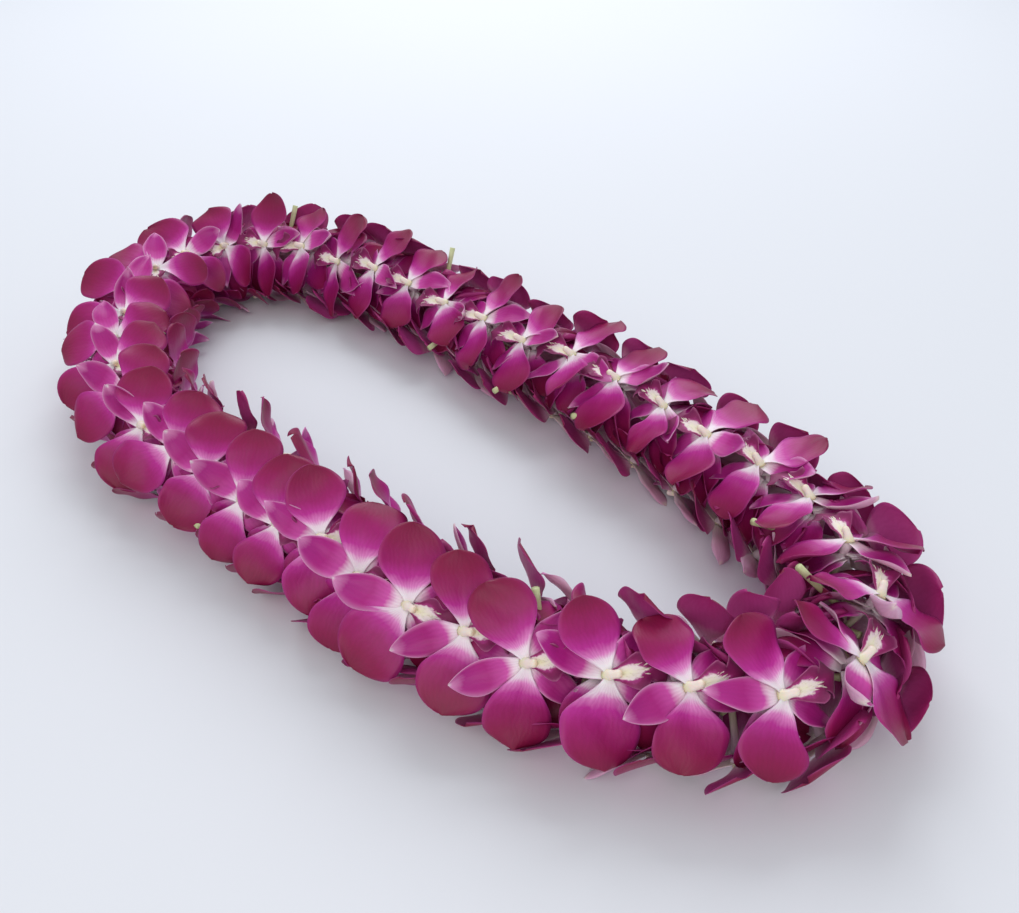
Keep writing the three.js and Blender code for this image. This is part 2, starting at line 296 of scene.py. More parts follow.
def shell(piece, points, thick, slot, along, across, tone, cells):
    """A closed thin sheet: a front and a back grid half a thickness either side of the
    middle one, joined round the rim. thick and the marks vary over the grid."""
    _, rows, columns, _ = points.shape
    normals = sheet_normals(points) * (thick / 2)[..., None]
    points = points.copy()
    points[..., 2] = np.maximum(points[..., 2], np.abs(normals[..., 2]))
    both = np.stack([points + normals, points - normals], 1).reshape(BLOOMS, -1, 3)
    back = rows * columns
    front_quads = grid_quads(rows, columns)
    index = np.arange(back).reshape(rows, columns)
    rim = np.concatenate([index[0], index[1:, -1], index[-1, -2::-1], index[-2:0:-1, 0]])
    after = np.roll(rim, -1)
    rim_quads = np.stack([rim, after, after + back, rim + back], -1)
    quads = np.concatenate([front_quads, front_quads[:, ::-1] + back, rim_quads])
    behind = np.repeat([0.0, 1.0], back)[None, :, None]
    flat = [np.broadcast_to(m, points.shape[:3]).reshape(BLOOMS, -1) for m in (along, across, tone)]
    marks = np.stack([np.concatenate([m, m], 1) for m in flat], -1)
    marks = np.concatenate([marks, np.broadcast_to(behind, marks.shape[:2] + (1,))], -1)
    u, v = np.meshgrid(np.linspace(0, 1, rows), np.linspace(0, 1, columns), indexing="ij")
    cell = np.stack([u, v], -1).reshape(-1, 2)
    piece.add(both, quads, slot, marks, np.concatenate([cells.next(cell), cells.next(cell)]))


def tube(piece, path, radii, sides, aside, slot, tone, cells, each=1, looped=False):
    """A round bar of an even number of sides along path, which is bars x rings x 3.

    A ring is a circle of its radius, square to the path, with cosine and sine along two
    directions that are square to each other: the cross product of the path's direction and
    aside, which the path never takes, and the cross product of that one and the path's
    direction. The ends are closed flat, or joined where the bar is looped. Each object has
    so many bars, counted by each."""
    if looped:
        forward = unit(np.roll(path, -1, 1) - np.roll(path, 1, 1))
    else:
        forward = unit(np.gradient(path, axis=1))
    across = unit(np.cross(forward, aside))
    up = np.cross(across, forward)[:, :, None]
    angle = (np.arange(sides) * 2 * np.pi / sides)[:, None]
    ring = across[:, :, None] * np.cos(angle) + up * np.sin(angle)
    points = path[:, :, None] + radii[None, :, None, None] * ring
    bars, rings = path.shape[:2]
    size = rings * sides
    if looped:
        one = grid_quads(rings + 1, sides, closed=True) % size
    else:
        half = np.arange(sides // 2 - 1)
        cap = np.stack([half, half + 1, sides - 2 - half, sides - 1 - half], -1)
        one = np.concatenate([grid_quads(rings, sides, closed=True), cap, cap[:, ::-1] + size - sides])
    quads = one + np.arange(each)[:, None, None] * size
    along = np.tile(np.repeat(np.linspace(0, 1, rings), sides), each)
    round_it = np.tile(np.linspace(-1, 1, sides), rings * each)
    count = bars // each
    tone = np.broadcast_to(tone, (count, 1)) * np.ones(size * each)
    marks = np.stack(np.broadcast_arrays(along, round_it, tone, 0.0), -1)
    u, v = np.meshgrid(np.linspace(0, 1, rings), np.linspace(0, 1, sides), indexing="ij")
    cell = np.tile(cells.next(np.stack([u, v], -1).reshape(-1, 2)), (each, 1))
    piece.add(points.reshape(count, -1, 3), quads.reshape(-1, 4), slot, marks, cell)


CELL_MARGIN = 0.04  # free on each side of a square of the atlas, as a part of it


class Cells:
    """Hands out the squares of an atlas, row by row, each with a margin round it."""

    def __init__(self, across):
        self.across, self.used = across, 0

    def next(self, cell):
        """Places from 0 to 1 moved into the next square."""
        corner = np.array(divmod(self.used, self.across), float)
        self.used += 1
        return (corner + CELL_MARGIN + (1 - 2 * CELL_MARGIN) * cell) / self.across


# places along and across a blade, its own depth of colour, and 1 on its back
MARKS = ("along", "across", "tone", "behind")


def make_object(name, points, quads, slots, marks, uv, materials):
    """One mesh in the row frame, in metres, from arrays of corners, quads and marks."""
    mesh = bpy.data.meshes.new(name)
    mesh.vertices.add(len(points))
    mesh.vertices.foreach_set("co", (points * MM).astype(np.float32).ravel())
    mesh.loops.add(quads.size)
    mesh.loops.foreach_set("vertex_index", quads.astype(np.int32).ravel())
    mesh.polygons.add(len(quads))
    mesh.polygons.foreach_set("loop_start", np.arange(0, quads.size, 4, dtype=np.int32))
    mesh.polygons.foreach_set("material_index", slots.astype(np.int32))
    mesh.polygons.foreach_set("use_smooth", np.ones(len(quads), bool))
    for k, mark in enumerate(MARKS):
        layer = mesh.attributes.new(mark, "FLOAT", "POINT")
        layer.data.foreach_set("value", marks[:, k].astype(np.float32))
    layer = mesh.uv_layers.new(name="OFBake")
    layer.uv.foreach_set("vector", uv[quads.ravel()].astype(np.float32).ravel())
    for material in materials:
        mesh.materials.append(material)
    mesh.update(calc_edges=True)
    thing = bpy.data.objects.new(name, mesh)
    bpy.context.scene.collection.objects.link(thing)
    return thing


# ---- Blades: petals and sepals ----

PETAL, SEPAL, LIP, COLUMN, STALK, FOOT_END = range(6)

# sepals and petals in the order they lie, and then blades folded in under the face, which stand
# for the crowd between it and the string: kind, turn in degrees from the side towards the lip,
# length, width, how far the foot is lifted, how far the blade is sunk under the face, and the
# number added to the blade's draws
BLADES = [dict(zip(("kind", "turn", "length", "width", "lift", "sunk", "draw"), row)) for row in (
    ("upper sepal", 270, 28.5, 13, -0.3, 0, 5),
    ("side sepal", 52, 26, 11, -0.5, 0, 1),
    ("side sepal", 128, 26, 11, -0.5, 0, 3),
    ("petal", -14, 30.5, 25, 0.7, 0, 0),
    ("petal", 194, 30.5, 25, 0.7, 0, 4),
    ("tucked", 24, 28, 19, 0, 6.5, 6),
    ("tucked", 156, 28, 19, 0, 6, 7),
    ("tucked", 208, 27, 19, 0, 7.5, 8),
    ("tucked", 332, 27, 19, 0, 7, 9),
)]
# widest: where along the blade; claw: the width at its foot; rise, fall, round: how its
# outline swells to the widest place and closes after it; rim and keel: heights of the edge
# and of the middle line at the foot, before the middle, after it and at the tip; grid: its
# rows and columns; thick: its middle's thickness; wave: how high its edge ripples; vary: how
# much the turn in degrees, twist, cupping and tip differ from bloom to bloom; under: how far
# it passes below the petals for each degree that it is turned past TURNED_UNDER
KINDS = {
    "petal": {
        "widest": 0.59, "claw": 0.12, "rise": 1.35, "fall": 2.5, "round": 0.58,
        "rim": [0, 0.6, -0.5, -1.8], "keel": [0, -0.9, -0.9, -1.0], "grid": (22, 15),
        "thick": 0.5, "wave": 1.0, "vary": (13, 0.22, 2.0, 8),
    },
    "side sepal": {
        "widest": 0.45, "claw": 0.42, "rise": 1, "fall": 1.6, "round": 0.85,
        "rim": [0, -0.5, -1.0, -2.0], "keel": [0, -0.6, -1.4, -2.0], "grid": (16, 9),
        "thick": 0.55, "wave": 0.5, "vary": (12, 0.3, 1.2, 11),
    },
    "upper sepal": {
        "widest": 0.48, "claw": 0.38, "rise": 1.1, "fall": 1.7, "round": 0.8,
        "rim": [0, 1.0, 1.0, 0.2], "keel": [0, -1.1, -1.2, 0], "grid": (16, 9),
        "thick": 0.55, "wave": 0.6, "vary": (30, 0.25, 1.3, 10), "under": 0.2,
    },
    "tucked": {
        "widest": 0.58, "claw": 0.3, "rise": 1.2, "fall": 2.1, "round": 0.6,
        "rim": [0, -2.1, -7.2, -11.5], "keel": [0, -2.9, -9, -14], "grid": (12, 7),
        "thick": 0.5, "wave": 0.9, "vary": (18, 0.2, 1.2, 12),
    },
}
TURNED_UNDER = 10  # degrees
# what differs between blades: which draw it takes, to which the blade's own number is added,
# and how much it differs either way, or None where its kind or its formula says that
BLADE_VARY = {
    "curl": (10, VARY["curl"]), "wave across": (20, VARY["curl"]), "phase": (30, None),
    "length": (60, 0.05), "sway": (70, 1.6), "width": (80, 0.11), "ripples": (90, None),
    "tone": (101, None), "widest": (120, 0.07), "fall": (130, 0.3), "twist": (140, None),
    "cup": (150, None), "tip": (160, None), "turn": (170, None), "fuller side": (180, 0.17),
    "skew": (190, 0.3), "slant": (210, 1),
}
FOOT = 1.2  # where a blade starts, from the middle of the face
TIP_CROWDING = 1.45  # the power that draws a blade's rows together towards its tip
BLADE_END = 0.997  # the last row, just short of the tip, where the outline would close
EDGE_THINNING = 0.65  # the part of its thickness that a blade loses at its edge
TONE_SHARES = (0.6, 0.4)  # of a blade's depth of colour: its bloom's and its own
CUP_LEVEL = 0.4  # the square of v where a cupping leaves the height as it is
TIP_START = 0.35  # the part of the length from which the tip bends
TIP_SQUARE = 0.42  # the square of what is left of the length there
FEWEST_RIPPLES = 1.2  # along an edge, to which a draw adds up to one
LIFT_SPREAD = 0.35  # the part of the length over which a lifted foot comes down
GROOVE_DEPTH = 0.22
GROOVE_SPREAD = 0.12  # as a part of the half width
SWELL_SHARE = 0.4  # height of the low waves of a blade, as a part of its ripple's
SWELLS = (1.4, 0.8)  # low waves along a blade, and across half of it where they slant most
NUMBERS = PLACES["number"][:, None, None]


def drawn(blade, what):
    """The use number by which a blade draws something."""
    return BLADE_VARY[what][0] + blade["draw"]


def differs(blade, what, reach=None):
    """How much a blade of every bloom differs in one way."""
    return swing(NUMBERS, drawn(blade, what), reach or BLADE_VARY[what][1])


def outline(blade, s):
    """Half width from 0 to 1: a sine that swells from the claw to the widest place, then
    one less a power of the rest, taken to another power. Place and power vary a little."""
    kind = KINDS[blade["kind"]]
    widest = kind["widest"] + differs(blade, "widest")
    swell = kind["claw"] + (1 - kind["claw"]) * np.sin(
        np.pi / 2 * np.minimum(1, s / widest) ** kind["rise"])
    rest = np.clip((s - widest) / (1 - widest), 0, 1)
    fall = kind["fall"] * (1 + differs(blade, "fall"))
    return swell * np.maximum(1 - rest**fall, 0.0) ** kind["round"]


HEIGHT_PLACES = [0, 0.45, 0.8, 1]  # of a blade's length, for the heights of rim and keel


def level(heights, s):
    """The cubic through four heights at HEIGHT_PLACES."""
    fit = np.polyfit(HEIGHT_PLACES, heights, 3)
    return np.polyval(fit, s)


def blade_grid(kind):
    """Rows along and columns across: one less a power of the rest, so rows crowd at the tip."""
    rows, columns = kind["grid"]
    s = 1 - (1 - np.linspace(0, 1, rows)) ** TIP_CROWDING
    v = np.linspace(-1, 1, columns)
    return np.meshgrid(s * BLADE_END, v, indexing="ij")


def blade_points(blade, s, v):
    """A blade in its own coordinates: x along it, y across it, height over the face.

    The height goes from the keel's line to the rim's with the square of v. It takes the same
    curl along and wave across as the solid's, and then a twist, a cupping, a tip bent by a
    square, a sine ripple of the edge, a lift of the foot and a groove down the middle that
    are bell curves, and a low slanting sine wave. Ripple and waves grow in from the foot."""
    kind = KINDS[blade["kind"]]
    skewed = s + differs(blade, "skew") * v * s * (1 - s)
    width = outline(blade, skewed)
    _, twist, cup, tip = kind["vary"]
    x = FOOT + (blade["length"] * (1 + differs(blade, "length")) - FOOT) * s
    fuller = 1 + differs(blade, "fuller side") * v
    y = width * v * fuller * blade["width"] / 2 * (1 + differs(blade, "width"))
    y = y + differs(blade, "sway") * s**2
    rim, keel = level(kind["rim"], s), level(kind["keel"], s)
    height = keel + (rim - keel) * v**2 - blade["sunk"]
    height = height + differs(blade, "curl") * s
    height += differs(blade, "wave across") * width * v
    height += differs(blade, "twist", twist) * y * s
    height += differs(blade, "cup", cup) * (v**2 - CUP_LEVEL) * s
    bent = rare(NUMBERS, drawn(blade, "tip"), tip)
    height += bent * np.maximum(0, s - TIP_START) ** 2 / TIP_SQUARE
    phase = chance(NUMBERS, drawn(blade, "phase")) * 2 * np.pi
    waves = FEWEST_RIPPLES + chance(NUMBERS, drawn(blade, "ripples"))
    ripple = kind["wave"] * np.sin(2 * np.pi * s * waves + phase)
    height += ripple * np.abs(v) ** 3 * np.sign(v) * np.minimum(1, 3 * s)
    height += blade["lift"] * bell(s, 0, LIFT_SPREAD)
    groove = GROOVE_DEPTH * bell(v, 0, GROOVE_SPREAD) * np.sin(np.pi * np.minimum(1, s * 1.1))
    along, slanting = SWELLS
    swell = np.sin(2 * np.pi * (along * s + slanting * v * differs(blade, "slant")) + 2 * phase)
    height -= groove
    height += SWELL_SHARE * kind["wave"] * swell * np.minimum(1, 2 * s)
    return x, y, height


def turned(turn, x, y):
    """From a blade's own coordinates, turned by degrees, to side and lipward."""
    angle = np.radians(turn)
    return x * np.cos(angle) - y * np.sin(angle), x * np.sin(angle) + y * np.cos(angle)


def add_blade(piece, cells, blade):
    """One petal or sepal of every bloom, its edge a third as thick as its middle. An upper
    sepal turned far from its place passes under its neighbours, in proportion to the turn."""
    kind = KINDS[blade["kind"]]
    s, v = blade_grid(kind)
    x, y, height = blade_points(blade, s, v)
    differ = differs(blade, "turn", kind["vary"][0])
    past = np.maximum(0, np.abs(differ) - TURNED_UNDER)
    height = height - kind.get("under", 0) * past * np.minimum(1, 4 * s)
    side, lipward = turned(blade["turn"] + differ, x, y)
    points = on_face(side, lipward, height)
    thick = kind["thick"] * (1 - EDGE_THINNING * np.maximum(np.abs(v), s**6) ** 3)
    slot = PETAL if blade["kind"] in ("petal", "tucked") else SEPAL
    bloom, own = TONE_SHARES
    tone = bloom * chance(NUMBERS, DRAWS["bloom tone"])
    tone = tone + own * chance(NUMBERS, drawn(blade, "tone"))
    shell(piece, points, thick, slot, s, v, tone, cells)


# ---- The lip, its crest, the column and the stalk ----

LIP_PARTS = {"side": (0.34, 0.18, 6.6), "front": (0.8, 0.15, 5.8)}  # place, spread, width
LIP_NECK = 1.9  # half width where neither part adds to it
LIP_LENGTH = 19
LIP_LINE = (15, 8.6, 2.2)  # its middle line: the multiples of s and of a power of s, that power
SIDE_LOBE = (4.6, 0.34, 0.19)  # height at the edge, place and spread
FRONT_LOBE = (2.2, 0.9, 0.16)  # the same for the lobe that turns down
LIP_DRAWN_IN = (0.3, 0.36, 0.2)  # the part by which its edge comes inward, place and spread
LIP_RUFFLES = (0.7, 4.5)  # height and number along the edge
LIP_CLEAR = 0.4  # how far it lies over the face
LIP_TURN = 90  # degrees from the side
LIP_GRID = (20, 13)
LIP_CROWDING = 1.2  # the power that draws its rows together towards its tip
LIP_END = 0.995  # its last row
LIP_THICKNESS = 0.5
LIP_THINNING = 0.6  # the part of it that is lost at the edge
CREST_HAIRS = 24
CREST_ROW = 8  # hairs in each row along the lip
CREST_START = 0.17  # where along the lip the rows start
CREST_LENGTH = 0.3  # the part of the lip that they take up
HAIR_NUMBERS = 31  # draws kept for each bloom's hairs, more than there are
HAIR_LENGTH = 2.4
HAIR_RADII = np.array([0.42, 0.34, 0.12])
HAIR_SIDES = 4
# radii of the column from the face to its cap, of the ovary from the face to the string, and
# of the stalk from the string to the cut
COLUMN_RADII = np.array([2.4, 2.2, 2.0, 1.8, 1.65, 1.55, 1.5, 1.55, 1.6, 1.55, 1.25, 0.5])
OVARY_RADII = np.array([2.6, 2.1, 1.6, 1.4, 1.35, 1.3, 1.2])
STALK_RADII = np.array([1.2, 1.25, 1.3, 1.35, 1.4, 1.5, 1.6])
COLUMN_SIDES = 10
STALK_SIDES = 8  # of the stalk and the ovary


def lip_height(s, v):
    """The lip's middle line leaves the face steeply and bends back to it: a multiple of s
    less a power of s. Its side lobes stand up with v and its front lobe turns down."""
    rise, fall, power = LIP_LINE
    up, place, spread = SIDE_LOBE
    down, front, front_spread = FRONT_LOBE
    lobe = up * bell(s, place, spread) * np.abs(v) ** 1.7
    return rise * s - fall * s**power + lobe - down * bell(s, front, front_spread) * v**2


def lip_width(s):
    """Half width: the neck and a bell curve for each part, closed by a high power at the tip."""
    parts = sum(width * bell(s, place, spread) for place, spread, width in LIP_PARTS.values())
    return (LIP_NECK + parts) * (1 - s**9) ** 0.5


def lip_points(s, v, n):
    """Lip places in its own coordinates. A sine wave times the fourth power of v ruffles the
    edge, and a bell curve times v draws in the raised lobes."""
    size = 1 + swing(n, DRAWS["lip size"], 0.06)
    high, many = LIP_RUFFLES
    ruffle = high * np.abs(v) ** 4 * np.sin(2 * np.pi * (many * s + chance(n, DRAWS["ruffle"])))
    inward, place, spread = LIP_DRAWN_IN
    x = FOOT + (LIP_LENGTH - FOOT) * s * size
    y = lip_width(s) * v * (1 - inward * bell(s, place, spread) * np.abs(v))
    return x, y, lip_height(s, v) + ruffle + LIP_CLEAR


def add_lip(piece, cells):
    """The folded lip of every bloom, thinner towards its edge with the cube of v."""
    rows, columns = LIP_GRID
    s = (1 - (1 - np.linspace(0, 1, rows)) ** LIP_CROWDING) * LIP_END
    s, v = np.meshgrid(s, np.linspace(-1, 1, columns), indexing="ij")
    x, y, height = lip_points(s, v, NUMBERS)
    side, lipward = turned(LIP_TURN, x, y)
    points = on_face(side, lipward, height)
    thick = LIP_THICKNESS * (1 - LIP_THINNING * np.abs(v) ** 3)
    shell(piece, points, thick, LIP, s, v, chance(NUMBERS, DRAWS["lip tone"]), cells)


def face_point(side, lipward, height):
    """One place on every face, as blooms x 1 x 3."""
    here = np.ones((BLOOMS, 1))
    return on_face(side * here, lipward * here, height * here)


def part_tone(what):
    """A drawn depth of colour for one part of every bloom, as blooms x 1."""
    return chance(PLACES["number"], DRAWS[what + " tone"])[:, None]


def add_crest(piece, cells):
    """The fringe on the lip: slim points that stand up and forward off its middle, each
    along a parabola in t."""
    hairs = np.arange(CREST_HAIRS)
    n = (PLACES["number"][:, None] * HAIR_NUMBERS + hairs)[..., None]
    row = (hairs % CREST_ROW / (CREST_ROW - 1))[None, :, None]
    place = CREST_START + CREST_LENGTH * row + swing(n, DRAWS["hair place"], 0.03)
    part = swing(n, DRAWS["hair part"], 0.34)
    x, y, height = lip_points(place, part, NUMBERS)
    t = np.array([0, 0.5, 1.0])
    long = HAIR_LENGTH + swing(n, DRAWS["hair length"], 0.7)
    x = x + long * t * 0.8
    y = y + long * t * (part + swing(n, DRAWS["hair aside"], 0.25))
    height = height + long * (0.75 * t - 0.25 * t**2) - 0.1
    side, lipward = turned(LIP_TURN, x, y)
    path = on_face(side, lipward, height).reshape(-1, 3, 3)
    aside = np.repeat(SIDEWAYS, CREST_HAIRS, 0)
    tube(piece, path, HAIR_RADII, HAIR_SIDES, aside, COLUMN, part_tone("crest"), cells, CREST_HAIRS)


def root_points():
    """Where each bloom's foot meets the string, spaced along its whorl's length of it."""
    n = PLACES["number"]
    whorl = n // BLOOMS_PER_WHORL
    place = (n % BLOOMS_PER_WHORL + 0.5) / BLOOMS_PER_WHORL
    part = (0.5 + (place - 0.5) * ROOT_SPREAD)[:, None]
    return string_corner(whorl) * (1 - part) + string_corner(whorl + 1) * part


def curve(first, lean, last, rings):
    """A smooth path: the quadratic that starts at first, leans to lean and ends at last."""
    t = np.linspace(0, 1, rings)[:, None]
    return (1 - t) ** 2 * first + 2 * t * (1 - t) * lean + t**2 * last


SIDEWAYS = unit(face_point(1, 0, 0) - face_point(-1, 0, 0))
LIPWARDS = unit(face_point(0, 1, 0) - face_point(0, -1, 0))


def add_column(piece, cells):
    """The column: a short stout bar whose quadratic path leans over the lip to a blunt cap."""
    foot, lean, cap = face_point(0, -0.8, -0.6), face_point(0, 0.4, 3.6), face_point(0, 3.0, 4.6)
    path = curve(foot, lean, cap, len(COLUMN_RADII))
    tube(piece, path, COLUMN_RADII, COLUMN_SIDES, SIDEWAYS, COLUMN, part_tone("column"), cells)


def add_foot(piece, cells):
    """The ovary: a slim bar on the straight path from the face to the string."""
    middle, root = face_point(0, 0, -0.4), root_points()[:, None]
    path = curve(middle, (middle + root) / 2, root, len(OVARY_RADII))
    tube(piece, path, OVARY_RADII, STALK_SIDES, SIDEWAYS, FOOT_END, part_tone("foot"), cells)


STALK_SHARE = 0.2  # of the blooms whose cut stalk shows between the faces
STALK_REACH = 32  # from the string to the cut
HIDDEN_REACH = 4  # the same for a stalk cut off short inside
STALK_ASLANT = 58  # degrees between a stalk and its bloom's face, round the string
STALK_START = 0.15  # where along its reach a stalk starts
STALK_BACK = -3  # where its cut lies along the string from its bloom, on the mean


def add_stalk(piece, cells):
    """The cut stalk: a straight bar out from the string, aslant of its bloom's face and along
    the string, long enough on some blooms to stand out between two rows of faces."""
    n = PLACES["number"]
    shows = chance(n, DRAWS["stalk shows"]) < STALK_SHARE
    reach = STALK_REACH + swing(n, DRAWS["stalk reach"], 4)
    reach = np.where(shows, reach, HIDDEN_REACH)[:, None]
    way = np.where(chance(n, DRAWS["stalk side"]) > 0.5, 1, -1)
    around = (PLACES["around"] + np.radians(way * STALK_ASLANT))[:, None]
    along = PLACES["along"][:, None]
    back = swing(n, DRAWS["stalk back"], 8)[:, None] + STALK_BACK
    part = np.linspace(STALK_START, 1, len(STALK_RADII))
    path = beside(along + back * part, reach * part * np.cos(around), reach * part * np.sin(around))
    path[..., 2] = np.maximum(eased(path[..., 2]), STALK_RADII[-1])
    tube(piece, path, STALK_RADII, STALK_SIDES, LIPWARDS, STALK, part_tone("stalk"), cells)


# ---- Materials ----


def colour(code):
    """A linear colour from an sRGB hex value."""
    parts = np.array([int(code[k:k + 2], 16) for k in (1, 3, 5)]) / 255
    linear = np.where(parts <= 0.04045, parts / 12.92, ((parts + 0.055) / 1.055) ** 2.4)
    return (*linear.tolist(), 1.0)


def add(tree, name, kind, settings=None, links=None, stops=()):
    """Adds a node with its settings and links, and the stops of a ramp.

    A setting is a property of the node or the value of a socket, and a colour is a hex
    value. A link gives an earlier node by name, and after a dot which of its outputs."""
    node = tree.nodes.new("ShaderNode" + kind)
    node.name = name
    for key, value in (settings or {}).items():
        value = colour(value) if str(value).startswith("#") else value
        if isinstance(key, str) and hasattr(node, key):
            setattr(node, key, value)
        else:
            node.inputs[key].default_value = value
    for key, source in (links or {}).items():
        other, _, output = source.partition(".")
        tree.links.new(tree.nodes[other].outputs[int(output or 0)], node.inputs[key])
    for k, (place, code) in enumerate(stops):
        ramp = node.color_ramp.elements
        stop = ramp[k] if k < 2 else ramp.new(place)
        stop.position = place
        stop.color = colour(code)


def new_material(name, steps, settings, links):
    """A material: the blade's marks, its place, its own steps in turn and its main shader."""
    material = bpy.data.materials.new(name)
    material.use_nodes = True
    tree = material.node_tree
    tree.nodes.clear()
    for mark in MARKS:
        add(tree, mark, "Attribute", {"attribute_name": mark})
    add(tree, "place", "TexCoord")
    for step in steps:
        add(tree, *step)
    add(tree, "shader", "BsdfPrincipled", settings, links)
    add(tree, "output", "OutputMaterial", {}, {"Surface": "shader"})
    return material


TIMES, SUM, TIMES_PLUS = ({"operation": name} for name in ("MULTIPLY", "ADD", "MULTIPLY_ADD"))
MIX = {"data_type": "RGBA"}
HERE = {"Vector": "place.3"}  # a pattern that goes by the place in the lei
# how far along the ramps patches, veins, a blade's own tone and its bowed edge move a place
PATCHED, VEINED, OWN, BOWED = 0.14, 0.014, 0.08, 0.06


def scale_of(size):
    """The scale of a noise whose grains are about so many millimetres across."""
    return 1 / (size * MM)


def two_sided(front, back, edge):
    """Steps that colour a blade by its depth on a ramp for its face and one for its back, and
    its rim by a power of the distance from the middle. edge is the rim's colour, how narrow
    it is and its share."""
    rim, narrow, share = edge
    return [
        ("face", "ValToRGB", {}, {"Fac": "depth"}, front),
        ("rear", "ValToRGB", {}, {"Fac": "depth"}, back),
        ("steep", "Math", {"operation": "POWER", 1: narrow}, {0: "off"}),
        ("rim", "Math", {**TIMES, 1: share}, {0: "steep"}),
        ("rimmed", "Mix", {**MIX, 7: rim}, {0: "rim", 6: "face"}),
        ("both", "Mix", MIX, {0: "behind.2", 6: "rimmed.2", 7: "rear"}),
    ]


def blade_material(name, front, back, edge, veins, warmth):
    """Skin of an orchid petal or sepal, as grown: a satin sheet of small domed cells, dyed
    deepest at its end and white at its foot. It gives a soft broad sheen that has no sharp
    highlight, fine veins that fan out, a paler rim and a paler back.

    The place on the ramps is the part of the length, moved by soft patches, the veins, the
    distance from the middle and the blade's own depth of colour. The skin's cells are drawn
    coarser than they grow, because real ones are too fine to show. veins is how many there
    are, and warmth the share of crimson."""
    steps = [
        ("wander", "TexNoise", {"Scale": scale_of(4.55), "Detail": 3}, HERE),
        ("spread", "Math", {**TIMES_PLUS, 1: 0.5}, {0: "wander", 2: "across.2"}),
        ("fan", "Math", {**TIMES, 1: veins * np.pi}, {0: "spread"}),
        ("swing", "Math", {"operation": "SINE"}, {0: "fan"}),
        ("veins", "Math", {**TIMES_PLUS, 1: 0.5, 2: 0.5}, {0: "swing"}),
        ("patches", "TexNoise", {"Scale": scale_of(6.25), "Detail": 3}, HERE),
        ("patched", "Math", {**TIMES_PLUS, 1: PATCHED}, {0: "patches", 2: "along.2"}),
        ("veined", "Math", {**TIMES_PLUS, 1: VEINED}, {0: "veins", 2: "patched"}),
        ("aside", "Math", TIMES, {0: "across.2", 1: "across.2"}),
        ("curved", "Math", {**TIMES_PLUS, 1: -BOWED}, {0: "aside", 2: "veined"}),
        ("own", "Math", {**TIMES_PLUS, 1: OWN}, {0: "tone.2", 2: "curved"}),
        ("depth", "Math", {**SUM, 1: -(PATCHED + VEINED + OWN) / 2}, {0: "own"}),
        ("off", "Math", {"operation": "ABSOLUTE"}, {0: "across.2"}),
        *two_sided(front, back, edge),
        ("past foot", "Math", {**TIMES_PLUS, "use_clamp": True, 1: 3.5, 2: -0.7}, {0: "along.2"}),
        ("warmer", "Math", TIMES, {0: "tone.2", 1: "past foot"}),
        ("warmth", "Math", {**TIMES, 1: warmth}, {0: "warmer"}),
        ("warmed", "Mix", {**MIX, 7: "#821238"}, {0: "warmth", 6: "both.2"}),
        ("darker", "Math", {**TIMES, 1: 0.05}, {0: "veins"}),
        ("skin", "Mix", {**MIX, 7: "#5f0c3c"}, {0: "darker", 6: "warmed.2"}),
        ("cells", "TexNoise", {"Scale": scale_of(0.385), "Detail": 2}, HERE),
        ("low veins", "Math", {**TIMES, 1: 0.3}, {0: "veins"}),
        ("relief", "Math", {**TIMES_PLUS, 1: 0.5}, {0: "cells", 2: "low veins"}),
        ("bump", "Bump", {"Strength": 0.25, "Distance": 0.3 * MM}, {"Height": "relief"}),
    ]
    return new_material(name, steps, {
        "Roughness": 0.42, "Specular IOR Level": 0.25, "Subsurface Weight": 0.08,
        "Subsurface Scale": 1.5 * MM, "Subsurface Radius": (1.0, 0.25, 0.5),
    }, {"Base Color": "skin.2", "Normal": "bump"})


def petal_material():
    """Broad petals: deep crimson magenta, violet pink towards a white foot."""
    front = [(0.0, "#faf3f4"), (1.0, "#731338"), (0.12, "#f2dae7"), (0.2, "#df82c2"),
             (0.32, "#c02f98"), (0.5, "#a71d74"), (0.78, "#8e1750")]
    back = [(0.0, "#f3e9e0"), (1.0, "#a02a72"), (0.2, "#edc2da"), (0.5, "#c4559f")]
    return blade_material("orchid_petal", front, back, ("#bb4fa4", 16.0, 0.45), 11, 0.5)


def sepal_material():
    """Narrow sepals: lighter magenta with a white tip and thin white edges."""
    front = [(0.0, "#faf4f5"), (1.0, "#faf0f3"), (0.13, "#f2d3e3"), (0.25, "#cf4fa8"),
             (0.48, "#b42487"), (0.8, "#b12b8b"), (0.95, "#e092c6")]
    back = [(0.0, "#efe7d6"), (1.0, "#efe3d8"), (0.25, "#ecd6dc"), (0.6, "#dfb3cc"),
            (0.88, "#dcaecb")]
    return blade_material("orchid_sepal", front, back, ("#e6a9d2", 12.0, 0.7), 7, 0.25)


